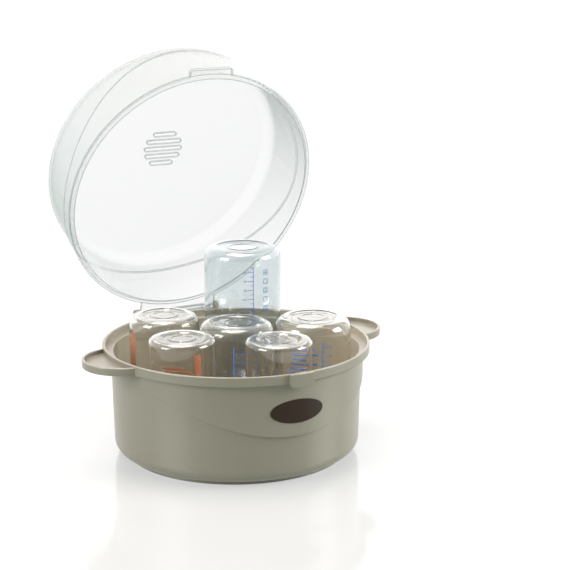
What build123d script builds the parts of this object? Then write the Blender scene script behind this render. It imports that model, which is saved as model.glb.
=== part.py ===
from build123d import *
import os
from math import cos, radians, sin, sqrt

# Microwave bottle sterilizer
# A deep round tub stands on the stepped-in well that holds its water. It has a stepped collar,
# two thumb ears, a front catch and a hinge at the back. A clear lid hangs in the hinge, wide open,
# and leans on its stop.
# A perforated rack in the tub carries six feeding bottles, which stand on their mouths.
# Millimetres. The origin is on the tub's axis, in the plane it stands on. The front faces -Y,
# +Z is up, and the hinge is at +Y.

# Tub
tub_height = 100.5
collar_radius = 119.0
collar_wall = 2.7
collar_height = 8.5
collar_step = 7.1
ledge_thickness = 2.5
wall_thickness = 2.6
wall_draft = 2.4
base_corner_radius = 10.5
well_depth = 3.5
edge_rounding = 0.9

# Raised bands that end in a wave, measured down from the collar's top and up from the lid's mouth
tub_band_proud = 1.3
tub_wave_drop_middle = 56.5
tub_wave_drop_side = 17.5
lid_band_proud = 0.9
lid_wave_rise_middle = 56.5
lid_wave_rise_side = 20.5

# Thumb ears
ear_radius = 35.0
ear_overhang = 26.0
ear_height = 6.8
ear_drop = 1.2
ear_rim = 2.2
ear_dish_depth = 3.6

# Front catch
catch_width = 22.0
catch_height = 11.5
catch_proud = 3.3
catch_wall = 4.8
catch_rounding = 3.0

# Badge, a blank oval plate
badge_length = 50.0
badge_height = 20.5
badge_thickness = 0.7
badge_drop = 34.5

# Hinge
hinge_setback = 8.0
hinge_drop = 1.0
hinge_inner_width = 74.0
hinge_cheek_top = 3.0
hinge_cheek_base = 5.6
hinge_boss_radius = 5.2
trunnion_radius = 2.0
trunnion_clearance = 0.06
trunnion_length = 2.6
barrel_radius = 2.6
leaf_side_gap = 0.4
leaf_thickness = 2.4
stop_bar_width = 4.2
stop_bar_setback = 3.4
stop_bar_drop = 2.6
heel_reach = 6.8
heel_thickness = 2.0
heel_angle_open = -10.0
heel_length = 60.0

# Lid
lid_open_angle = 70.0
lid_seat_gap = 0.3
lid_headroom = 1.3
lid_wall = 2.0
lid_top_thickness = 2.4
lid_inset = 1.0
lid_draft = 1.2
lid_corner_radius = 12.0
lid_flange_overhang = 2.0
lid_flange_thickness = 3.7
lid_tab_width = 42.0
lid_tab_overhang = 4.6
lid_tab_rounding = 3.0
vent_slot_width = 3.2
vent_slot_pitch = 7.6
vent_slot_count = 5
vent_radius = 19.0
vent_forward = 9.0

# Bottle rack
rack_side_gap = 3.0
rack_plate = 2.4
rack_leg_height = 9.5
rack_leg_radius = 4.0
rack_leg_gap = 2.4
rack_rim_height = 5.0
rack_rim_width = 2.0
rack_turn = 4.0
ring_places = 5
seat_gap = 0.2
ring_radius = 71.0
locator_height = 8.0
locator_wall = 2.2
locator_clearance = 1.6
drain_hole_radius = 4.0
drain_ring_radius = 38.0

# Bottles
bottle_wall = 1.6
neck_radius = 24.0
neck_height = 16.0
neck_rounding = 2.0
thread_proud = 1.1
thread_width = 1.8
thread_pitch = 4.6
thread_start = 2.6
thread_rounding = 0.5
thread_turns = 2
shoulder_height = 11.0
shoulder_rounding = 3.5
base_ring_width = 7.0
base_dish_depth = 1.6
base_dish_rounding = 1.0
short_bottle_length = 103.1
tall_bottle_length = 156.7
slim_radius, slim_heel = 29.0, 5.0
rear_left_radius, rear_left_heel = 31.5, 8.0
tall_radius, tall_heel = 35.4, 9.0
wide_radius, wide_heel = 34.5, 11.0
centre_radius, centre_heel = 33.4, 10.0

# How far a cutting shape runs past what it cuts, and a joining shape into what it joins
overcut = 5.0
weld = 1.0

# Bottles: node, place on the ring counted from the front towards +X, body radius, length, and the
# rounding of the heel, which faces up. Place None is the middle of the rack.
bottles = [
    ("bottle_front", 0, slim_radius, short_bottle_length, slim_heel),
    ("bottle_left", -1, slim_radius, short_bottle_length, slim_heel),
    ("bottle_rear_left", -2, rear_left_radius, short_bottle_length, rear_left_heel),
    ("bottle_rear_right", 2, tall_radius, tall_bottle_length, tall_heel),
    ("bottle_right", 1, wide_radius, short_bottle_length, wide_heel),
    ("bottle_centre", None, centre_radius, short_bottle_length, centre_heel),
]

# Levels and radii that follow from the sizes above
collar_bottom = tub_height - collar_height
ledge_height = collar_bottom + ledge_thickness
wall_top_radius = collar_radius - collar_step
wall_bottom_radius = wall_top_radius - wall_draft
well_radius = wall_bottom_radius - base_corner_radius
tub_band_radius = wall_top_radius + tub_band_proud
rack_bottom = wall_thickness + seat_gap
plate_bottom = rack_bottom + rack_leg_height
plate_top = plate_bottom + rack_plate
rack_radius = wall_bottom_radius - wall_thickness - rack_side_gap
leg_ring_radius = well_radius - wall_thickness - rack_leg_gap - rack_leg_radius
bottle_mouth = plate_top + seat_gap
neck_inner = neck_radius - bottle_wall
locator_radius = neck_inner - locator_clearance
place_pitch = 360 / ring_places
lid_bottom = tub_height + lid_seat_gap
lid_top = bottle_mouth + tall_bottle_length + lid_headroom + lid_top_thickness
lid_mouth_radius = collar_radius - lid_inset
lid_top_radius = lid_mouth_radius - lid_draft
lid_flange_radius = collar_radius + lid_flange_overhang
hinge_back = collar_radius + hinge_setback
hinge_height = tub_height - hinge_drop
cheek_inner = hinge_inner_width / 2
cheek_outer = cheek_inner + hinge_cheek_base
hinge_axis = Axis((0, hinge_back, hinge_height), (1, 0, 0))


def section(*corners):
    """A closed outline in the XZ plane. Each corner is (radius, height, rounding)."""
    outline = make_face(Plane.XZ * Polyline(*[(r, z) for r, z, _ in corners], close=True))
    for r, z, rounding in corners:
        if rounding:
            corner = outline.vertices().sort_by_distance((r, 0, z))[0]
            outline = fillet(corner, rounding)
    return outline


def turned(*corners):
    """The outline turned about the Z axis."""
    return revolve(section(*corners), Axis.Z)


def ring(inner, outer, bottom, top):
    """A plain ring about the Z axis."""
    return turned((inner, bottom, 0), (outer, bottom, 0), (outer, top, 0), (inner, top, 0))


def disc(radius, bottom, top, x=0.0, y=0.0):
    """A plain upright cylinder."""
    height = top - bottom
    return Pos(x, y, bottom + height / 2) * Cylinder(radius, height)


def block(x_low, x_high, y_low, y_high, z_low, z_high):
    """A box between two corners."""
    middle = Pos((x_low + x_high) / 2, (y_low + y_high) / 2, (z_low + z_high) / 2)
    return middle * Box(x_high - x_low, y_high - y_low, z_high - z_low)


def wave_side(middle, side, radius, far):
    """What lies on one side of the wave: an arc seen from the front, run through the whole body.

    The arc passes the given heights at the middle and at the wall's two sides. far is the height
    that closes the shape, below or above the arc."""
    reach = radius * 1.04
    rise = side - middle
    arc_radius = (radius**2 + rise**2) / (2 * abs(rise))
    sag = (arc_radius - sqrt(arc_radius**2 - reach**2)) * (1 if rise > 0 else -1)
    arc = ThreePointArc((-reach, middle + sag), (0, middle), (reach, middle + sag))
    rest = Polyline((reach, middle + sag), (reach, far), (-reach, far), (-reach, middle + sag))
    face = make_face(Plane.XZ * (arc + rest))
    return extrude(face, radius * 1.2, both=True)


def wall_radius(height):
    """The tub wall's outer radius at a height, between the corner and the collar."""
    low = well_depth + base_corner_radius
    share = (height - low) / (collar_bottom - low)
    return wall_bottom_radius + (wall_top_radius - wall_bottom_radius) * share


def tub_shell():
    """The turned body: water well, wall, ledge and collar in one."""
    inner_corner = base_corner_radius - wall_thickness
    return turned(
        (0, 0, 0),
        (well_radius, 0, edge_rounding),
        (well_radius, well_depth, 0),
        (wall_bottom_radius, well_depth, base_corner_radius),
        (wall_top_radius, collar_bottom, 0),
        (collar_radius, collar_bottom, edge_rounding),
        (collar_radius, tub_height, edge_rounding),
        (collar_radius - collar_wall, tub_height, edge_rounding),
        (collar_radius - collar_wall, ledge_height, 0),
        (wall_top_radius - wall_thickness, ledge_height, edge_rounding),
        (wall_bottom_radius - wall_thickness, well_depth + wall_thickness, inner_corner),
        (well_radius - wall_thickness, well_depth + wall_thickness, 0),
        (well_radius - wall_thickness, wall_thickness, 0),
        (0, wall_thickness, 0),
    )


def tub_band():
    """The band under the collar, proud of the wall, that ends below in the wave."""
    middle = tub_height - tub_wave_drop_middle
    low = middle - weld
    band = turned(
        (wall_radius(low) - wall_thickness / 2, low, 0),
        (tub_band_radius, low, 0),
        (tub_band_radius, collar_bottom, 0),
        (wall_radius(collar_bottom) - wall_thickness / 2, collar_bottom, 0),
    )
    side = tub_height - tub_wave_drop_side
    return band - wave_side(middle, side, wall_top_radius, low - overcut)


def thumb_ear(side):
    """A half-moon ear beside the collar, dished from above, at +X or -X."""
    top = tub_height - ear_drop
    bottom = top - ear_height
    centre = side * (collar_radius + ear_overhang - ear_radius)
    ear = disc(ear_radius, bottom, top, centre)
    ear = fillet(ear.edges().filter_by(GeomType.CIRCLE).sort_by(Axis.Z), edge_rounding)
    ear -= disc(ear_radius - ear_rim, top - ear_dish_depth, top + overcut, centre)
    return ear - disc(collar_radius - collar_wall / 2, bottom - overcut, top + overcut)


def front_catch():
    """The tab on the front of the collar."""
    plate = Plane.XZ * Rectangle(catch_width, catch_height)
    plate = fillet(plate.vertices().group_by(Axis.Z)[0], catch_rounding)
    tab = extrude(Pos(0, 0, tub_height - catch_height / 2) * plate, 2 * collar_radius)
    outer = collar_radius + catch_proud
    return tab & ring(outer - catch_wall, outer, 0, tub_height)


def hinge_cheek(side):
    """One cheek of the hinge, with the trunnion's bore. It leans outwards to its foot."""
    root = sqrt((collar_radius - collar_wall / 2) ** 2 - cheek_outer**2)
    back = hinge_back + hinge_boss_radius
    inner, outer = sorted((side * cheek_inner, side * cheek_outer))
    arm = block(inner, outer, root, back, collar_bottom, tub_height)
    centre = Plane.YZ * Pos(hinge_back, hinge_height)
    boss = extrude(Pos(side * cheek_inner, 0, 0) * centre * Circle(hinge_boss_radius),
                   side * hinge_cheek_base)
    top = hinge_height + hinge_boss_radius + overcut
    past = side * (cheek_outer + overcut)
    lean = Polyline((side * (cheek_inner + hinge_cheek_top), top), (side * cheek_outer, collar_bottom),
                    (past, collar_bottom), (past, top), close=True)
    lean = Pos(0, root, 0) * extrude(make_face(Plane.XZ * lean), root - back)
    cheek = arm + boss - lean - disc(collar_radius - collar_wall / 2, 0, 2 * tub_height)
    bore = Pos(side * cheek_inner, 0, 0) * centre * Circle(trunnion_radius + trunnion_clearance)
    return cheek - extrude(bore, side * (trunnion_length + leaf_side_gap))


def stop_bar():
    """The bar between the cheeks that holds the open lid by its heel."""
    front = hinge_back + stop_bar_setback
    half = cheek_inner + weld
    return block(-half, half, front, front + stop_bar_width,
                 collar_bottom, hinge_height - stop_bar_drop)


def tub():
    """The moulded tub with everything that is one piece with it."""
    body = tub_shell() + tub_band() + front_catch() + stop_bar()
    for side in (-1, 1):
        body += thumb_ear(side)
        body += hinge_cheek(side)
    return body


def badge_plate():
    """The blank oval plate on the raised band."""
    oval = Plane.XZ * Ellipse(badge_length / 2, badge_height / 2)
    plate = extrude(Pos(0, 0, tub_height - badge_drop) * oval, 2 * collar_radius)
    return plate & ring(tub_band_radius, tub_band_radius + badge_thickness, 0, collar_bottom)


def lid_shell():
    """The turned lid, closed: flange, wall, rounded corner and flat top."""
    return turned(
        (lid_mouth_radius - lid_wall, lid_bottom, 0),
        (lid_flange_radius, lid_bottom, edge_rounding),
        (lid_flange_radius, lid_bottom + lid_flange_thickness, edge_rounding),
        (lid_mouth_radius, lid_bottom + lid_flange_thickness, 0),
        (lid_top_radius, lid_top, lid_corner_radius),
        (0, lid_top, 0),
        (0, lid_top - lid_top_thickness, 0),
        (lid_top_radius - lid_wall, lid_top - lid_top_thickness, lid_corner_radius - lid_wall),
    )


def lid_band():
    """The band above the flange, proud of the wall, that ends above in the wave."""
    low = lid_bottom + lid_flange_thickness
    middle = lid_bottom + lid_wave_rise_middle
    high = middle + weld
    band = ring(lid_mouth_radius - lid_wall, lid_mouth_radius + lid_band_proud, low, high)
    within = turned(
        (0, low - overcut, 0),
        (lid_mouth_radius - lid_wall / 2, low - overcut, 0),
        (lid_mouth_radius - lid_wall / 2, low, 0),
        (lid_top_radius - lid_wall / 2, lid_top, 0),
        (0, lid_top, 0),
    )
    side = lid_bottom + lid_wave_rise_side
    return band - within - wave_side(middle, side, lid_mouth_radius, high + overcut)


def lid_tab():
    """The lip at the lid's front that a finger lifts."""
    back = sqrt(lid_mouth_radius**2 - (lid_tab_width / 2) ** 2)
    width = lid_flange_radius + lid_tab_overhang - back
    plate = Pos(0, -back - width / 2) * Rectangle(lid_tab_width, width)
    plate = fillet(plate.vertices().group_by(Axis.Y)[0], lid_tab_rounding)
    return Pos(0, 0, lid_bottom) * extrude(plate, lid_flange_thickness)


def lid_hinge():
    """Leaf, barrel, two trunnions and the heel that meets the stop bar, in the closed place."""
    half = cheek_inner - leaf_side_gap
    root = sqrt((lid_mouth_radius - lid_wall / 2) ** 2 - half**2)
    leaf = block(-half, half, root, hinge_back, lid_bottom, lid_bottom + leaf_thickness)
    leaf -= disc(lid_mouth_radius - lid_wall / 2, 0, 2 * tub_height)
    across = Pos(0, hinge_back, hinge_height) * Rot(0, 90, 0)
    barrel = across * Cylinder(barrel_radius, 2 * half)
    pins = across * Cylinder(trunnion_radius, 2 * (cheek_inner + trunnion_length))
    heel = Pos(0, heel_reach / 2, 0) * Box(heel_length, heel_reach, heel_thickness)
    heel = Pos(0, hinge_back, hinge_height) * Rot(heel_angle_open + lid_open_angle, 0, 0) * heel
    return leaf + barrel + pins + heel


def vent_slots():
    """The steam vent: parallel slots that fill a circle near the middle of the top."""
    slots = Part()
    for i in range(vent_slot_count):
        y = (i - (vent_slot_count - 1) / 2) * vent_slot_pitch
        slot = SlotOverall(2 * sqrt(vent_radius**2 - y**2), vent_slot_width)
        low = lid_top - lid_top_thickness - overcut
        slots += Pos(0, y - vent_forward, low) * extrude(slot, lid_top_thickness + 2 * overcut)
    return slots


def lid():
    """The clear lid, built closed and swung open about the hinge."""
    closed = lid_shell() + lid_band() + lid_tab() + lid_hinge() - vent_slots()
    return closed.rotate(hinge_axis, -lid_open_angle)


def on_circle(circle, number):
    """The point on a circle about the rack's middle, at a place counted from the front."""
    turn = radians(number * place_pitch + rack_turn)
    return circle * sin(turn), -circle * cos(turn)


def bottle_place(number):
    """Where a bottle's axis stands."""
    return (0.0, 0.0) if number is None else on_circle(ring_radius, number)


def bottle_rack():
    """The rack: a rimmed plate on legs, with a raised locator and a steam hole for each mouth."""
    rack = disc(rack_radius, plate_bottom, plate_top)
    rack += ring(rack_radius - rack_rim_width, rack_radius, plate_bottom, plate_top + rack_rim_height)
    for _, number, *_ in bottles:
        x, y = bottle_place(number)
        rack += disc(locator_radius, plate_bottom, plate_top + locator_height, x, y)
        rack -= disc(locator_radius - locator_wall, 0, tub_height, x, y)
    for number in range(ring_places):
        leg_x, leg_y = on_circle(leg_ring_radius, number + 0.5)
        rack += disc(rack_leg_radius, rack_bottom, plate_top, leg_x, leg_y)
        hole_x, hole_y = on_circle(drain_ring_radius, number + 0.5)
        rack -= disc(drain_hole_radius, 0, tub_height, hole_x, hole_y)
    return rack


def bottle(radius, length, heel):
    """A bottle that stands on its mouth at the rack's middle, open below, its base on top."""
    top = bottle_mouth + length
    neck_top = bottle_mouth + neck_height
    shoulder_top = neck_top + shoulder_height
    ring_inner = radius - base_ring_width - heel / 2
    dish_radius = ring_inner - 2 * base_dish_depth
    dish = top - base_dish_depth
    shell = turned(
        (neck_inner, bottle_mouth, 0),
        (neck_radius, bottle_mouth, 0),
        (neck_radius, neck_top, neck_rounding),
        (radius, shoulder_top, shoulder_rounding),
        (radius, top, heel),
        (ring_inner, top, base_dish_rounding),
        (dish_radius, dish, base_dish_rounding),
        (0, dish, 0),
        (0, dish - bottle_wall, 0),
        (dish_radius, dish - bottle_wall, 0),
        (ring_inner, top - bottle_wall, 0),
        (radius - bottle_wall, top - bottle_wall, heel - bottle_wall),
        (radius - bottle_wall, shoulder_top + bottle_wall / 2, shoulder_rounding),
        (neck_inner, neck_top + bottle_wall / 2, neck_rounding),
    )
    middle = neck_radius - bottle_wall / 2
    for turn in range(thread_turns):
        low = bottle_mouth + thread_start + turn * thread_pitch
        shell += turned(
            (middle, low, 0),
            (neck_radius + thread_proud, low, thread_rounding),
            (neck_radius + thread_proud, low + thread_width, thread_rounding),
            (middle, low + thread_width, 0),
        )
    return shell


parts = {
    "tub": tub(),
    "badge_plate": badge_plate(),
    "lid": lid(),
    "bottle_rack": bottle_rack(),
}
for node, number, radius, length, heel in bottles:
    parts[node] = Pos(*bottle_place(number), 0) * bottle(radius, length, heel)

os.makedirs("parts", exist_ok=True)
for node, part in parts.items():
    export_step(part, f"parts/{node}.step")
    low, high = part.bounding_box().min.Z, part.bounding_box().max.Z
    print(f"{node:18s} volume {part.volume / 1000:6.1f} cm3, z {low:6.1f} to {high:6.1f}")
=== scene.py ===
# %% [markdown]
# # A microwave bottle sterilizer in a white studio
# The real object is a round greige polypropylene tub with a milky clear lid that swings back on a
# hinge. Feeding bottles stand on their mouths inside it, so that steam can rise into them. The
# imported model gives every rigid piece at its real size. This lesson gives the pieces their
# finishes and adds what is too fine for the model: glass-smooth bottles with screw threads,
# printed scales and soft edges.

# %% Load the model
import bpy
import math
import numpy as np
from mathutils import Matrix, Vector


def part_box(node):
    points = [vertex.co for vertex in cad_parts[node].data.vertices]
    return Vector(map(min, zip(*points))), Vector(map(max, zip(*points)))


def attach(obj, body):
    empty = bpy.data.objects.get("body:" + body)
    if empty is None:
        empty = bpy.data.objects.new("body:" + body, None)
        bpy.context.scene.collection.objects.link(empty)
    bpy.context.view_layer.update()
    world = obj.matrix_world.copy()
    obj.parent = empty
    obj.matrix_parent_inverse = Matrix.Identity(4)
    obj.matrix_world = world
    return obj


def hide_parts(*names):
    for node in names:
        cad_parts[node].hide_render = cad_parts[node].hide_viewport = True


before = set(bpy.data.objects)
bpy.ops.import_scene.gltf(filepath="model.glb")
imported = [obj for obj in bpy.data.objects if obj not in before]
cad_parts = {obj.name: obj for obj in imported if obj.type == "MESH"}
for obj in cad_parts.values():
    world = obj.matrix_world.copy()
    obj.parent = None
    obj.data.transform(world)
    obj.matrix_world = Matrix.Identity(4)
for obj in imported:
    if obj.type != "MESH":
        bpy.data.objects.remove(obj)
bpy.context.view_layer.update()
MM = 0.001  # one millimetre in the scene's metres, and sizes without _M are in millimetres

# %% [markdown]
# ## Colours and nodes
# A colour picked on a screen is an sRGB hex value, and a shader works with linear light. One
# function does that change, and one makes a colour a little lighter or darker. A third adds a
# shader node with its settings and links, so a material reads as a short list of what feeds what.

# %% Helpers for every material


def linear(hex_colour):
    """An sRGB hex colour as linear RGBA.

    A channel c from 0 to 1 becomes c / 12.92 up to 0.04045, else ((c + 0.055) / 1.055) ** 2.4."""
    channels = [int(hex_colour[i:i + 2], 16) / 255 for i in (1, 3, 5)]
    light = [c / 12.92 if c <= 0.04045 else ((c + 0.055) / 1.055) ** 2.4 for c in channels]
    return (*light, 1.0)


def toned(hex_colour, factor, lift=0.0):
    """The same colour lighter or darker: each linear channel times factor plus lift, at most 1."""
    return (*(min(c * factor + lift, 1.0) for c in linear(hex_colour)[:3]), 1.0)


def add(tree, kind, settings=None, **links):
    """Adds a node. settings are its properties or its unlinked inputs, links its linked inputs.

    A link called _0 goes to input 0, and an underscore inside a name stands for a space."""
    node = tree.nodes.new(kind)
    for name, value in (settings or {}).items():
        if isinstance(name, int) or name in node.inputs:
            node.inputs[name].default_value = value
        else:
            setattr(node, name, value)
    for name, socket in links.items():
        place = int(name[1:]) if name[1:].isdigit() else name.replace("_", " ")
        tree.links.new(socket, node.inputs[place])
    return node


def new_material(name):
    """An empty node material and its output node."""
    material = bpy.data.materials.new(name)
    material.use_nodes = True
    material.node_tree.nodes.clear()
    return material, material.node_tree, add(material.node_tree, "ShaderNodeOutputMaterial")


print("helpers are ready, #808080 in linear light is", round(linear("#808080")[0], 3))

# %% [markdown]
# ## The tub's plastic
# Moulded polypropylene is waxy: satin, with a faint fine grain from the etched mould and a broad
# soft highlight. It could be a plain colour with one roughness, but then a big smooth wall looks
# like computer plastic. A slow noise changes the roughness and the colour by a few percent, as
# flow marks do, and a fine one gives the grain.

# %% Satin polypropylene
POLYPROPYLENE_IOR = 1.49
FLOW_MM = 60
FLOW_TONE = 0.03
FLOW_SMOOTHER, FLOW_ROUGHER = 0.03, 0.04
GRAIN_MM = 0.6
GRAIN_DEPTH_MM = 0.012
GRAIN_STRENGTH = 0.35
MOULD_EDGE_MM = 0.7


def satin_polypropylene(name, colour, roughness, shine):
    """Moulded polypropylene. The grain is drawn at GRAIN_MM, coarser than real, so that it shows.

    Edges are shaded as if rounded to MOULD_EDGE_MM, as a mould leaves them, and so catch light."""
    material, tree, output = new_material(name)
    place = add(tree, "ShaderNodeTexCoord").outputs["Object"]
    flow = add(tree, "ShaderNodeTexNoise", {"Scale": 1 / (FLOW_MM * MM), "Detail": 2.0},
               Vector=place)
    tint = add(tree, "ShaderNodeMix",
               {"data_type": "RGBA", 6: toned(colour, 1 - FLOW_TONE),
                7: toned(colour, 1 + FLOW_TONE)}, Factor=flow.outputs["Fac"])
    rough = add(tree, "ShaderNodeMapRange",
                {"To Min": roughness - FLOW_SMOOTHER, "To Max": roughness + FLOW_ROUGHER},
                Value=flow.outputs["Fac"])
    grain = add(tree, "ShaderNodeTexNoise", {"Scale": 1 / (GRAIN_MM * MM), "Detail": 1.0},
                Vector=place)
    soft_edge = add(tree, "ShaderNodeBevel", {"samples": 6, "Radius": MOULD_EDGE_MM * MM})
    bump = add(tree, "ShaderNodeBump",
               {"Strength": GRAIN_STRENGTH, "Distance": GRAIN_DEPTH_MM * MM},
               Height=grain.outputs["Fac"], Normal=soft_edge.outputs[0])
    shader = add(tree, "ShaderNodeBsdfPrincipled",
                 {"IOR": POLYPROPYLENE_IOR, "Specular IOR Level": shine},
                 Base_Color=tint.outputs[2], Roughness=rough.outputs[0], Normal=bump.outputs[0])
    tree.links.new(shader.outputs[0], output.inputs["Surface"])
    return material


tub_plastic = satin_polypropylene("polypropylene greige satin", "#827b6f", 0.30, 0.65)
rack_plastic = satin_polypropylene("polypropylene warm greige satin", "#918071", 0.40, 0.5)
badge_plastic = satin_polypropylene("polystyrene dark brown satin", "#2b1c13", 0.30, 0.22)
print("three moulded plastics")

# %% [markdown]
# ## Clear plastic
# The bottles are clear glass-like polyamide. They have two faces with real thickness, so a
# transmitting shader bends light as the real walls do. A glass shader blocks the lamps, though,
# and the tub would go dark under the bottles. So shadow rays see a Transparent shader instead,
# which lets lamp light through as a thin clear wall would. The tall bottle's plastic is a faint
# blue.

# %% Clear plastics
POLYAMIDE_IOR = 1.52
BLOWN_WAVE_MM = 25
BLOWN_WAVE_DEPTH_MM = 0.15
BLOWN_WAVE_STRENGTH = 0.15
BLOWN_ROUGHNESS = 0.03


def clear_plastic(name, colour, passes):
    """A clear plastic with the slow waves of blow moulding.

    Its roughness goes with them, from 0 to BLOWN_ROUGHNESS. passes is the colour of the lamp light
    that one face lets through."""
    material, tree, output = new_material(name)
    place = add(tree, "ShaderNodeTexCoord").outputs["Object"]
    waves = add(tree, "ShaderNodeTexNoise", {"Scale": 1 / (BLOWN_WAVE_MM * MM), "Detail": 1.0},
                Vector=place)
    rough = add(tree, "ShaderNodeMapRange", {"To Min": 0.0, "To Max": BLOWN_ROUGHNESS},
                Value=waves.outputs["Fac"])
    bump = add(tree, "ShaderNodeBump",
               {"Strength": BLOWN_WAVE_STRENGTH, "Distance": BLOWN_WAVE_DEPTH_MM * MM},
               Height=waves.outputs["Fac"])
    shader = add(tree, "ShaderNodeBsdfPrincipled",
                 {"Base Color": linear(colour), "IOR": POLYAMIDE_IOR, "Transmission Weight": 1.0},
                 Roughness=rough.outputs[0], Normal=bump.outputs[0])
    clear = add(tree, "ShaderNodeBsdfTransparent", {"Color": linear(passes)})
    path = add(tree, "ShaderNodeLightPath")
    both = add(tree, "ShaderNodeMixShader", None,
               _0=path.outputs["Is Shadow Ray"], _1=shader.outputs[0], _2=clear.outputs[0])
    tree.links.new(both.outputs[0], output.inputs["Surface"])
    return material


bottle_plastic = clear_plastic("polyamide clear gloss", "#fcfaf7", "#fbfaf8")
tall_plastic = clear_plastic("polyamide pale blue gloss", "#e8edee", "#f4f7f7")
print("two clear plastics, one of them pale blue for the tall bottle")

# %% [markdown]
# ## Milky plastic
# The lid is thin moulded polypropylene, which is clear but a little milky. It could be glass as
# well, but light caught inside its wall then draws black lines along every rim. The real wall is
# pale there, because the milk scatters that light. So the lid is a pale surface with a low cover
# that grows where it is seen edge on, and its edges get a soft grey line of painted shade, which
# stands in for the light that the real wall bends away there.

# %% Milky lid
FACE_ON_COVER, EDGE_ON_COVER = 0.05, 0.78
COVER_POWER = 2.0
EDGE_LINE_MM = 1.8
EDGE_LINE_FULL = 0.82
LID_SMOOTHEST, LID_ROUGHEST = 0.16, 0.20
LID_WAVE_MM = 35
LID_WAVE_DEPTH_MM = 0.15
LID_WAVE_STRENGTH = 0.2
LID_SHINE = 0.05


def milky_plastic(name, colour, edge_shade_colour):
    """Thin clear polypropylene: it barely bends light, but its faces haze more when seen edge on.

    One face covers FACE_ON_COVER + (EDGE_ON_COVER - FACE_ON_COVER) * (1 - cos a) ** COVER_POWER of
    what is behind it, where a is the angle between the line of sight and the face's normal. Where
    the real wall bends light away, at its edges, there is a line EDGE_LINE_MM wide. It is full
    where the product of the rounded and the flat normal falls to EDGE_LINE_FULL."""
    material, tree, output = new_material(name)
    place = add(tree, "ShaderNodeTexCoord").outputs["Object"]
    flow = add(tree, "ShaderNodeTexNoise", {"Scale": 1 / (LID_WAVE_MM * MM), "Detail": 1.0},
               Vector=place)
    rough = add(tree, "ShaderNodeMapRange", {"To Min": LID_SMOOTHEST, "To Max": LID_ROUGHEST},
                Value=flow.outputs["Fac"])
    bump = add(tree, "ShaderNodeBump",
               {"Strength": LID_WAVE_STRENGTH, "Distance": LID_WAVE_DEPTH_MM * MM},
               Height=flow.outputs["Fac"])
    turn = add(tree, "ShaderNodeLayerWeight", {"Blend": 0.5}).outputs["Facing"]
    steep = add(tree, "ShaderNodeMath", {"operation": "POWER", 1: COVER_POWER}, _0=turn)
    haze = add(tree, "ShaderNodeMapRange", {"To Min": FACE_ON_COVER, "To Max": EDGE_ON_COVER},
               Value=steep.outputs[0])
    # The line along the edges is painted shade: a darker grey and a fuller cover where the real
    # wall bends light away.
    round_edge = add(tree, "ShaderNodeBevel", {"samples": 4, "Radius": EDGE_LINE_MM * MM})
    flat = add(tree, "ShaderNodeNewGeometry")
    same = add(tree, "ShaderNodeVectorMath", {"operation": "DOT_PRODUCT"},
               _0=round_edge.outputs[0], _1=flat.outputs["Normal"])
    line = add(tree, "ShaderNodeMapRange", {"From Min": 1.0, "From Max": EDGE_LINE_FULL},
               Value=same.outputs["Value"])
    cover = add(tree, "ShaderNodeMath", {"operation": "ADD", "use_clamp": True},
                _0=haze.outputs[0], _1=line.outputs[0])
    tint = add(tree, "ShaderNodeMix",
               {"data_type": "RGBA", 6: linear(colour), 7: linear(edge_shade_colour)},
               Factor=line.outputs[0])
    shader = add(tree, "ShaderNodeBsdfPrincipled",
                 {"IOR": POLYPROPYLENE_IOR, "Specular IOR Level": LID_SHINE},
                 Base_Color=tint.outputs[2], Roughness=rough.outputs[0], Normal=bump.outputs[0],
                 Alpha=cover.outputs[0])
    tree.links.new(shader.outputs[0], output.inputs["Surface"])
    return material


# The second colour, #6f7b80, is the grey of the painted shade along the lid's edges.
lid_plastic = milky_plastic("polypropylene clear", "#b2b6b9", "#6f7b80")
print("one milky plastic")

# %% [markdown]
# The model's pieces come without a finish. The tub, the badge, the rack and the lid keep the
# model's own mesh and only get a material. The bottles get one too, though smooth ones replace
# them below.

# %% Dress the model's own pieces
FINISHES = {"tub": tub_plastic, "badge_plate": badge_plastic, "bottle_rack": rack_plastic,
            "lid": lid_plastic}
for node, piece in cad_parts.items():
    piece.data.materials.clear()
    piece.data.materials.append(FINISHES.get(node, bottle_plastic))
print("dressed", len(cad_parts), "pieces of the model")

# %% [markdown]
# ## Surfaces on a grid
# A clear gloss wall shows every flat facet of its mesh, so the bottles are made again as smooth
# surfaces, each on the model's own sizes. A bottle starts as a profile in radius and height. Its
# corners become arcs, it is turned about the Z axis as one numpy grid, and both ends close on the
# axis in a pole. A Screw modifier could turn a profile too, but it couldn't wind a thread on the
# neck.

# %% Profiles
ARC_STEPS = 7
NEARLY_STRAIGHT = 0.01


def rounded(corners):
    """A profile of (r, z) points from corners (r, z, radius), with each corner rounded.

    A corner's arc touches both sides. Its ends lie radius / tan(half) from the corner, where half
    is half the angle between the sides, and its centre radius / sin(half) away between them."""
    points = np.array([c[:2] for c in corners], float)
    pieces = [points[:1]]
    for i in range(1, len(corners) - 1):
        here, radius = points[i], corners[i][2]
        sides = points[[i - 1, i + 1]] - here
        sides /= np.linalg.norm(sides, axis=1)[:, None]
        half = math.acos(np.clip(sides[0] @ sides[1], -1, 1)) / 2
        if radius == 0 or half > math.pi / 2 - NEARLY_STRAIGHT:
            pieces.append(points[i:i + 1])
            continue
        middle = sides.sum(axis=0)
        centre = here + middle / np.linalg.norm(middle) * radius / math.sin(half)
        ends = here + sides * radius / math.tan(half) - centre
        first, last = np.arctan2(ends[:, 1], ends[:, 0])
        sweep = (last - first + math.pi) % (2 * math.pi) - math.pi
        angle = first + sweep * np.linspace(0, 1, ARC_STEPS + 1)
        pieces.append(centre + radius * np.stack([np.cos(angle), np.sin(angle)], axis=1))
    return np.concatenate(pieces + [points[-1:]])


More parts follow.
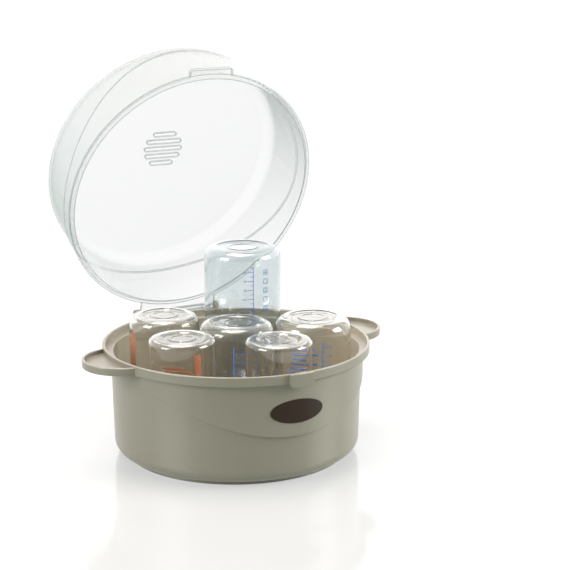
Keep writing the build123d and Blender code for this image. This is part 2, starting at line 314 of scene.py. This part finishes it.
def refined(profile, low, high, spacing):
    """The profile with points added wherever it runs between two heights, at most spacing apart."""
    steps = np.hypot(*np.diff(profile, axis=0).T)
    middle = (profile[1:, 1] + profile[:-1, 1]) / 2
    inside = (middle > low) & (middle < high)
    counts = np.where(inside, np.ceil(steps / spacing), 1).astype(int)
    start = np.repeat(profile[:-1], counts, axis=0)
    run = np.repeat(np.diff(profile, axis=0), counts, axis=0)
    done = np.arange(counts.sum()) - np.repeat(np.cumsum(counts) - counts, counts)
    share = (done / np.repeat(counts, counts))[:, None]
    return np.concatenate([start + run * share, profile[-1:]])


print("a corner with an arc has", len(rounded([(0, 0, 0), (9, 0, 2), (9, 9, 0)])) - 2, "points")

# %% Grids


def new_piece(name, mesh, material, body):
    """Puts a mesh into the scene with smooth faces, its finish and its body."""
    mesh.polygons.foreach_set("use_smooth", np.ones(len(mesh.polygons), bool))
    mesh.materials.append(material)
    piece = bpy.data.objects.new(name, mesh)
    bpy.context.scene.collection.objects.link(piece)
    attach(piece, body)
    return piece


def signed_volume(points, faces):
    """The volume inside closed faces: the sum of a . (b x c) / 6 over their triangles."""
    fans = [faces[:, [0, i, i + 1]] for i in range(1, faces.shape[1] - 1)]
    a, b, c = np.moveaxis(points[np.concatenate(fans)], 1, 0)
    return float(np.einsum("ij,ij->i", a, np.cross(b, c)).sum() / 6)


def poled_mesh(name, grid, first_pole, last_pole):
    """A closed mesh: a grid of rows x columns points that wraps round, with a pole at each end."""
    rows, columns = grid.shape[:2]
    index = np.arange(rows * columns).reshape(rows, columns)
    beside = np.roll(index, -1, axis=1)
    quads = np.stack([index[:-1], beside[:-1], beside[1:], index[1:]], axis=-1).reshape(-1, 4)
    first, last = (np.full(columns, rows * columns + i) for i in (0, 1))
    fans = np.concatenate([np.stack([first, beside[0], index[0]], axis=-1),
                           np.stack([last, index[-1], beside[-1]], axis=-1)])
    points = np.concatenate([grid.reshape(-1, 3), [first_pole, last_pole]])
    volume = signed_volume(points, quads) + signed_volume(points, fans)
    if volume < 0:
        quads, fans = quads[:, ::-1], fans[:, ::-1]
    mesh = bpy.data.meshes.new(name)
    mesh.from_pydata((points * MM).tolist(), [], quads.tolist() + fans.tolist())
    print(f"{name}: {len(quads) + len(fans)} faces, {abs(volume) / 1000:.1f} cubic centimetres")
    return mesh


COLUMNS = 144
ANGLES = np.linspace(0, 2 * math.pi, COLUMNS, endpoint=False)


def turned(profile):
    """The grid r cos a, r sin a, z of a profile's inner points, one row per point."""
    r, z = profile[1:-1, :1], profile[1:-1, 1:]
    return np.stack([r * np.cos(ANGLES), r * np.sin(ANGLES), z + 0 * ANGLES], axis=-1)


print("one turn has", COLUMNS, "columns")

# %% [markdown]
# ## The bottles
# Each bottle is blown clear plastic, upside down on its mouth. The base that faces up has a
# rounded heel, a narrow standing ring and a shallow dish with a ring in it, and these bend the
# light into the bright ovals of the photograph. The neck has a real screw thread: a ridge whose
# height on the neck goes up by one pitch in each turn, so it can't come from turning a profile
# alone.

# %% Bottle shape
WALL = 1.6
NECK_RADIUS = 24.0
NECK_HEIGHT = 16.0
NECK_SLACK = 0.01
SHOULDER_HEIGHT = 11.0
DISH_DEPTH = 1.6
STANDING_RING = 7.0
BEAD_SHARE = 0.55
BEAD_RISE = 0.45
BEAD_FOOT, BEAD_TOP = 1.6, 0.8
THREAD_PITCH = 4.6
THREAD_WIDTH = 2.4
THREAD_RISE = 1.05
THREAD_START, THREAD_END = 2.2, 10.6
THREAD_POWER = 1.5
THREAD_ROWS = 0.35
HEELS = {"bottle_front": 5.0, "bottle_left": 5.0, "bottle_rear_left": 8.0,
         "bottle_rear_right": 9.0, "bottle_right": 11.0, "bottle_centre": 10.0}


def bottle_profile(radius, mouth, top, heel):
    """Inner base, inner wall, mouth, outer neck and wall, outer base: one closed run of corners.

    Each corner is its radius from the axis, its height and the radius of its arc."""
    neck_top = mouth + NECK_HEIGHT
    shoulder_top = neck_top + SHOULDER_HEIGHT
    dish = radius - STANDING_RING - heel / 2
    inner = NECK_RADIUS - WALL
    bead = dish * BEAD_SHARE
    return rounded([
        (0, top - DISH_DEPTH - WALL, 0),
        (dish - 2 * DISH_DEPTH, top - DISH_DEPTH - WALL, 1.5),
        (dish, top - WALL, 1.0),
        (radius - WALL, top - WALL, heel - WALL),
        (radius - WALL, shoulder_top + WALL / 2, 3.0),
        (inner, neck_top + WALL / 2, 2.0),
        (inner, mouth, 0.5),
        (NECK_RADIUS, mouth, 0.7),
        (NECK_RADIUS, neck_top, 1.6),
        (radius, shoulder_top, 4.0),
        (radius, top, heel),
        (dish, top, 1.0),
        (dish - 2 * DISH_DEPTH, top - DISH_DEPTH, 1.5),
        (bead + BEAD_FOOT, top - DISH_DEPTH, 0.8),
        (bead + BEAD_TOP, top - DISH_DEPTH + BEAD_RISE, 0.6),
        (bead - BEAD_TOP, top - DISH_DEPTH + BEAD_RISE, 0.6),
        (bead - BEAD_FOOT, top - DISH_DEPTH, 0.8),
        (0, top - DISH_DEPTH, 0),
    ])


def threaded(grid, mouth):
    """The grid with the neck's screw thread.

    The ridge is THREAD_RISE * cos(pi d / THREAD_WIDTH) ** THREAD_POWER high, where d is the height
    from the helix, which climbs one THREAD_PITCH a turn. It fades in and out over 1 mm."""
    r = np.hypot(grid[..., 0], grid[..., 1])
    up = grid[..., 2] - mouth
    climb = THREAD_PITCH * ANGLES / (2 * math.pi)
    off = (up - climb + THREAD_PITCH / 2) % THREAD_PITCH - THREAD_PITCH / 2
    ridge = np.cos(np.clip(off / THREAD_WIDTH, -0.5, 0.5) * math.pi) ** THREAD_POWER
    fade = np.clip(up - THREAD_START, 0, 1) * np.clip(THREAD_END - up, 0, 1)
    outside = np.abs(r - NECK_RADIUS) < NECK_SLACK
    grow = 1 + np.where(outside, THREAD_RISE * ridge * fade, 0) / r
    grid[..., :2] *= grow[..., None]
    return grid


print("the thread makes", round((THREAD_END - THREAD_START) / THREAD_PITCH, 1), "turns")

# %% Six bottles
BOTTLES = {}
for node, heel in HEELS.items():
    low, high = (np.array(corner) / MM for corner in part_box(node))
    centre = (low + high) / 2
    radius = (high[0] - low[0]) / 2
    profile = bottle_profile(radius, low[2], high[2], heel)
    profile = refined(profile, low[2], low[2] + NECK_HEIGHT, THREAD_ROWS)
    grid = threaded(turned(profile), low[2])
    shift = np.array((centre[0], centre[1], 0))
    poles = [shift + (0, 0, profile[i, 1]) for i in (0, -1)]
    mesh = poled_mesh(node + "_clear", grid + shift, *poles)
    finish = tall_plastic if node == "bottle_rear_right" else bottle_plastic
    piece = new_piece(node + "_clear", mesh, finish, node)
    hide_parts(node)
    BOTTLES[node] = (centre[:2], radius, high[2])

# %% [markdown]
# ## Printed scales
# Screen-printed ink lies on the bottle as a thin skin. It could be painted by a texture, but a
# print made of mesh keeps its sharp edges in every view. Each mark is drawn flat, x along the skin
# and y up, and then wrapped: x becomes an angle, x / radius. The bottles stand on their mouths, so
# the scales and their plain numbers are upside down, with the zero at the base.

# %% Ink
INK_IOR = 1.5
INK_ROUGHNESS = 0.4
INK_PATCH_MM = 1.5
INK_THIN, INK_THICK, INK_LIGHTER = 0.9, 1.15, 0.01


def printing_ink(name, colour, cover):
    """Screen-print ink: a glossy skin that hides cover of what is behind it, with uneven tone."""
    material, tree, output = new_material(name)
    place = add(tree, "ShaderNodeTexCoord").outputs["Object"]
    patches = add(tree, "ShaderNodeTexNoise", {"Scale": 1 / (INK_PATCH_MM * MM), "Detail": 2.0},
                  Vector=place)
    tint = add(tree, "ShaderNodeMix",
               {"data_type": "RGBA", 6: toned(colour, INK_THIN),
                7: toned(colour, INK_THICK, INK_LIGHTER)}, Factor=patches.outputs["Fac"])
    shader = add(tree, "ShaderNodeBsdfPrincipled",
                 {"Roughness": INK_ROUGHNESS, "IOR": INK_IOR, "Alpha": cover},
                 Base_Color=tint.outputs[2])
    tree.links.new(shader.outputs[0], output.inputs["Surface"])
    return material


blue_ink = printing_ink("screen ink blue", "#1f57a8", 0.92)
orange_ink = printing_ink("screen ink orange", "#a8552a", 0.42)
print("two inks")

# %% Flat marks, as arrays of corners
INK_THICKNESS = 0.08
INK_LIFT = 0.05
BAR_POINTS = 7
NUMBER_SIZE = 2.9


def bars(boxes):
    """Rectangles (x0, x1, y0, y1) as one flat mesh, each split along x so that it can wrap."""
    boxes = np.array(boxes, float)
    share = np.linspace(0, 1, BAR_POINTS)
    x = boxes[:, :1] + (boxes[:, 1:2] - boxes[:, :1]) * share
    points = np.stack([np.stack([x, 0 * x + boxes[:, 2:3]], -1),
                       np.stack([x, 0 * x + boxes[:, 3:4]], -1)], axis=1)
    index = np.arange(points[..., 0].size).reshape(points.shape[:3])
    quads = np.stack([index[:, 0, :-1], index[:, 0, 1:], index[:, 1, 1:], index[:, 1, :-1]], -1)
    return points.reshape(-1, 2), quads.reshape(-1, 4).tolist()


def number(text, x, y):
    """A short number as flat faces, its middle at (x, y) and upside down."""
    curve = bpy.data.curves.new("number", "FONT")
    curve.body = text
    curve.size = NUMBER_SIZE
    curve.align_x, curve.align_y = "CENTER", "CENTER"
    holder = bpy.data.objects.new("number", curve)
    mesh = bpy.data.meshes.new_from_object(holder)
    points = np.zeros(len(mesh.vertices) * 3)
    mesh.vertices.foreach_get("co", points)
    faces = [list(p.vertices) for p in mesh.polygons]
    bpy.data.objects.remove(holder)
    bpy.data.curves.remove(curve)
    bpy.data.meshes.remove(mesh)
    return (x, y) - points.reshape(-1, 3)[:, :2], faces


def printed(name, marks, node, facing, material):
    """Marks wrapped on a bottle: angle = facing + x / radius, height = y, with the ink's thickness.

    facing is in degrees from the front towards +X. The ink is a closed skin made by Solidify."""
    centre, radius, _ = BOTTLES[node]
    points, faces, start = [], [], 0
    for mark_points, mark_faces in marks:
        points.append(mark_points)
        faces += [[v + start for v in face] for face in mark_faces]
        start += len(mark_points)
    x, y = np.concatenate(points).T
    skin = radius + INK_LIFT
    angle = math.radians(facing) + x / skin
    around = np.stack([centre[0] + skin * np.sin(angle), centre[1] - skin * np.cos(angle), y], -1)
    mesh = bpy.data.meshes.new(name)
    mesh.from_pydata((around * MM).tolist(), [], faces)
    piece = new_piece(name, mesh, material, node)
    ink = piece.modifiers.new("ink", "SOLIDIFY")
    ink.thickness, ink.offset = INK_THICKNESS * MM, 1.0


print("marks can be drawn and wrapped")

# %% A measuring scale
TICK_HALF = 0.22
LONG_TICK, SHORT_TICK = 5.2, 2.8
SPINE_HALF = 0.3
NUMBER_AWAY = 7.6
NUMBER_STEP = 30


def scale_marks(base, length, step, side):
    """A measuring scale that starts under the base and runs down: a spine, ticks and numbers.

    Ticks are step apart and point to -X where side is 1, to +X where it is -1. Each second one is
    long and has its number: NUMBER_STEP for the first, and as much more for each one after it."""
    count = int(length / step)
    y = base - step * np.arange(1, count + 1)
    reach = np.where(np.arange(count) % 2 == 1, LONG_TICK, SHORT_TICK)
    ticks = [(min(-side * r, 0), max(-side * r, 0), v - TICK_HALF, v + TICK_HALF)
             for r, v in zip(reach, y)]
    spine = [(-SPINE_HALF, SPINE_HALF, y[-1] - TICK_HALF, y[0] + TICK_HALF)]
    numbers = [number(str(NUMBER_STEP * (i + 1) // 2), -side * NUMBER_AWAY, y[i])
               for i in range(1, count, 2)]
    return [bars(ticks + spine)] + numbers


print("a scale of 60 mm has", len(scale_marks(0, 60, 5, 1)) - 1, "numbers")

# %% Squares and rows
LINE = 0.5


def squares(x, y, size, count, pitch):
    """A column of plain outline squares. Every other one has an upright line through its middle,
    and every third one a line across."""
    boxes, line, half = [], LINE, size / 2
    for i in range(count):
        v = y - i * pitch
        boxes += [(x - half, x + half, v + half - line, v + half),
                  (x - half, x + half, v - half, v - half + line),
                  (x - half, x - half + line, v - half, v + half),
                  (x + half - line, x + half, v - half, v + half)]
        boxes += [(x - line / 2, x + line / 2, v - half, v + half)] if i % 2 == 0 else []
        boxes += [(x - half, x + half, v - line / 2, v + line / 2)] if i % 3 == 0 else []
    return bars(boxes)


def rows(x, y, widths, pitch, height):
    """Rows of short bars, one under the other, each as wide as its entry."""
    return bars([(x, x + w, y - i * pitch - height, y - i * pitch) for i, w in enumerate(widths)])


print("squares and rows can be drawn")

# %% Prints on the six bottles
# CAMERA_SIDE degrees faces the camera, and each print is turned a little from there. All bottles
# but the tall one end at one height, and their prints are measured down from it.
CAMERA_SIDE = -27.0
top = BOTTLES["bottle_rear_right"][2]
printed("scale_rear_right",
        scale_marks(top - 9.5, 118, 4.2, side=1) + [squares(12.5, top - 19, 4.6, 5, 8.4)],
        "bottle_rear_right", CAMERA_SIDE + 16, blue_ink)
top = BOTTLES["bottle_centre"][2]
printed("scale_centre", scale_marks(top - 12, 76, 4.6, side=-1),
        "bottle_centre", CAMERA_SIDE - 4, blue_ink)
printed("scale_right",
        scale_marks(top - 12, 76, 4.3, side=-1)
        + [rows(-27, top - 22, (20, 23, 18, 22, 16, 23, 19, 21), 4.3, 1.7)],
        "bottle_right", CAMERA_SIDE + 12, blue_ink)
printed("scale_front",
        scale_marks(top - 14, 70, 5.0, side=-1)
        + [rows(-13, top - 24, (9, 11, 8, 10, 9), 4.4, 1.5)],
        "bottle_front", CAMERA_SIDE + 14, blue_ink)
printed("scale_left",
        scale_marks(top - 20, 66, 5.0, side=1)
        + [bars([(3.5, 9.5, top - 92, top - 9)]),
           rows(-24, top - 19, (19, 24, 21, 25, 20), 3.4, 1.9)],
        "bottle_left", CAMERA_SIDE + 16, orange_ink)
printed("scale_rear_left", [bars([(-5, 5, top - 90, top - 14)])],
        "bottle_rear_left", CAMERA_SIDE - 62, orange_ink)
print("six printed scales, five of them from", round(float(top), 1), "mm up")

# %% [markdown]
# ## The studio
# The object stands on a white floor in a white room. The floor shows white to the camera by part
# of its own glow, so no lamp has to be strong, and the rest of its light is real, so it keeps the
# object's shadow. A little gloss gives the faint mirror image under the tub.

# %% Floor
FLOOR_HALF_M = 6.0
LIT_SHARE = 0.42
LIT_NEAR_M, LIT_FAR_M = 0.18, 0.75
FLOOR_TONE, FLOOR_BOUNCE = "#bcbdbc", "#aabfb0"
FLOOR_GLOW = 1.03
FLOOR_GLOSS, FLOOR_GLOSS_IOR = 0.10, 1.38


def seen_rays(tree):
    """1 for rays that show a surface to the camera: straight, in a mirror or through glass."""
    path = add(tree, "ShaderNodeLightPath")
    seen = add(tree, "ShaderNodeMath", {"operation": "MAXIMUM"},
               _0=path.outputs["Is Camera Ray"], _1=path.outputs["Is Glossy Ray"])
    return add(tree, "ShaderNodeMath", {"operation": "MAXIMUM"},
               _0=seen.outputs[0], _1=path.outputs["Is Transmission Ray"]).outputs[0]


def floor_material():
    """White floor. Near the object LIT_SHARE of its white is lit and shadowed, far off none is.

    What the floor throws on the object is FLOOR_BOUNCE, and what the camera sees is FLOOR_TONE."""
    material, tree, output = new_material("painted board white semi-gloss")
    place = add(tree, "ShaderNodeTexCoord").outputs["Object"]
    away = add(tree, "ShaderNodeVectorMath", {"operation": "LENGTH"}, _0=place).outputs["Value"]
    near = add(tree, "ShaderNodeMapRange",
               {"interpolation_type": "SMOOTHSTEP", "From Min": LIT_NEAR_M, "From Max": LIT_FAR_M,
                "To Min": 1 - LIT_SHARE, "To Max": 1.0}, Value=away)
    seen = seen_rays(tree)
    share = add(tree, "ShaderNodeMath", {"operation": "MULTIPLY"}, _0=near.outputs[0], _1=seen)
    tone = add(tree, "ShaderNodeMix",
               {"data_type": "RGBA", 6: linear(FLOOR_BOUNCE), 7: linear(FLOOR_TONE)}, Factor=seen)
    lit = add(tree, "ShaderNodeBsdfDiffuse", None, Color=tone.outputs[2])
    glow = add(tree, "ShaderNodeEmission", {"Strength": FLOOR_GLOW})
    base = add(tree, "ShaderNodeMixShader", None,
               _0=share.outputs[0], _1=lit.outputs[0], _2=glow.outputs[0])
    mirror = add(tree, "ShaderNodeBsdfGlossy", {"Roughness": FLOOR_GLOSS})
    facing = add(tree, "ShaderNodeFresnel", {"IOR": FLOOR_GLOSS_IOR})
    fade = add(tree, "ShaderNodeMapRange", {"From Min": LIT_FAR_M, "From Max": LIT_NEAR_M},
               Value=away)
    gloss = add(tree, "ShaderNodeMath", {"operation": "MULTIPLY"},
                _0=facing.outputs[0], _1=fade.outputs[0])
    top = add(tree, "ShaderNodeMixShader", None,
              _0=gloss.outputs[0], _1=base.outputs[0], _2=mirror.outputs[0])
    tree.links.new(top.outputs[0], output.inputs["Surface"])
    return material


floor_mesh = bpy.data.meshes.new("studio_floor")
floor_mesh.from_pydata([(x * FLOOR_HALF_M, y * FLOOR_HALF_M, 0.0)
                        for x, y in ((-1, -1), (1, -1), (1, 1), (-1, 1))], [], [(0, 1, 2, 3)])
floor_mesh.materials.append(floor_material())
floor = bpy.data.objects.new("studio_floor", floor_mesh)
bpy.context.scene.collection.objects.link(floor)
print("a floor of", 2 * FLOOR_HALF_M, "m")

# %% [markdown]
# The room has two faces. What lights the object is an even pale room. What glass and gloss mirror
# is a white backdrop behind the object and a dim studio behind the camera, because clear plastic
# only shows its edges when there is something darker to bend into them. Gloss alone mirrors that
# room MIRRORED times as bright, as the bright room of the photograph shows on the plastic.

# %% World
ROOM_LIGHT = 0.30
DIM_STUDIO = 0.22
BACKDROP = 1.03
MIRRORED = 2.1
STUDIO_END, BACKDROP_START = -0.75, -0.15
WALLS_TONE, CEILING_TONE = "#eef5ef", "#fff2e6"
CEILING_START = 0.8
world = bpy.data.worlds.new("white room")
bpy.context.scene.world = world
world.use_nodes = True
sky = world.node_tree
sky.nodes.clear()
way = add(sky, "ShaderNodeSeparateXYZ", None,
          Vector=add(sky, "ShaderNodeTexCoord").outputs["Generated"])
back = add(sky, "ShaderNodeMapRange",
           {"interpolation_type": "SMOOTHSTEP", "From Min": STUDIO_END,
            "From Max": BACKDROP_START, "To Min": DIM_STUDIO, "To Max": BACKDROP},
           Value=way.outputs["Y"])
path = add(sky, "ShaderNodeLightPath")
only_mirror = add(sky, "ShaderNodeMath", {"operation": "SUBTRACT", "use_clamp": True},
                  _0=path.outputs["Is Glossy Ray"], _1=path.outputs["Is Transmission Ray"])
boost = add(sky, "ShaderNodeMapRange", {"To Min": 1.0, "To Max": MIRRORED},
            Value=only_mirror.outputs[0])
back = add(sky, "ShaderNodeMath", {"operation": "MULTIPLY"},
           _0=back.outputs[0], _1=boost.outputs[0])
seen = seen_rays(sky)
level = add(sky, "ShaderNodeMix", {"A": ROOM_LIGHT}, Factor=seen, B=back.outputs[0])
height = add(sky, "ShaderNodeMapRange", {"From Min": 0.0, "From Max": CEILING_START},
             Value=way.outputs["Z"])
lit_tone = add(sky, "ShaderNodeMix",
               {"data_type": "RGBA", 6: linear(WALLS_TONE), 7: linear(CEILING_TONE)},
               Factor=height.outputs[0])
tone = add(sky, "ShaderNodeMix", {"data_type": "RGBA", 7: linear("#ffffff")},
           Factor=seen, _6=lit_tone.outputs[2])
room = add(sky, "ShaderNodeBackground", None, Color=tone.outputs[2], Strength=level.outputs[0])
add(sky, "ShaderNodeOutputWorld", None, Surface=room.outputs[0])
print("a room with", len(sky.nodes), "nodes")

# %% Lamps
MIDDLE = (0.0, 0.0, 0.12)
LAMPS = {
    "lamp_left": ((-1.7, -0.1, 0.8), 0.9, 24, "#fbfffb"),
    "lamp_right": ((1.35, -0.9, 0.75), 0.9, 31, "#fbfffb"),
    "lamp_top": ((-0.1, 0.2, 1.9), 1.2, 42, "#fff6ee"),
}


def soft_box(name, place, size, watts, colour):
    """A square area lamp at a place, which looks at the MIDDLE of the object.

    A lamp shines down its own -Z. So it is tipped about X by the angle between up and the way to
    the lamp, and then turned about Z until it looks inwards."""
    lamp = bpy.data.lights.new(name, "AREA")
    lamp.shape = "SQUARE"
    lamp.size = size
    lamp.energy = watts
    lamp.color = linear(colour)[:3]
    obj = bpy.data.objects.new(name, lamp)
    bpy.context.scene.collection.objects.link(obj)
    obj.location = place
    away = np.array(place) - np.array(MIDDLE)
    obj.rotation_euler = (math.acos(away[2] / np.linalg.norm(away)), 0,
                          math.atan2(away[0], -away[1]))


for name, lamp in LAMPS.items():
    soft_box(name, *lamp)
print(len(LAMPS), "soft lamps")

# %% [markdown]
# ## The camera
# The camera stands to the left of the front and looks slightly down, as in the photograph. Its
# place was found by fitting a pinhole camera to the ellipses of the rim, the collar and the lid.
# Light may bounce more often than usual, because it crosses many clear walls.

# %% Camera
SENSOR_MM, LENS_MM = 36.0, 101.05
CAMERA_PLACE = (-0.6265, -1.2296, 0.4791)
CAMERA_TIP, CAMERA_TURN = 76.61, -28.81
LIGHT_BOUNCES, CLEAR_BOUNCES = 32, 28
camera_data = bpy.data.cameras.new("camera")
camera_data.sensor_width = SENSOR_MM
camera_data.lens = LENS_MM
camera = bpy.data.objects.new("camera", camera_data)
bpy.context.scene.collection.objects.link(camera)
camera.location = CAMERA_PLACE
camera.rotation_euler = (math.radians(CAMERA_TIP), 0.0, math.radians(CAMERA_TURN))
bpy.context.scene.camera = camera
bpy.context.scene.view_settings.view_transform = "Standard"
bpy.context.scene.cycles.max_bounces = LIGHT_BOUNCES
bpy.context.scene.cycles.transmission_bounces = CLEAR_BOUNCES
bpy.context.scene.cycles.transparent_max_bounces = LIGHT_BOUNCES
print("the camera stands", round(math.dist(CAMERA_PLACE, MIDDLE), 2), "m away")
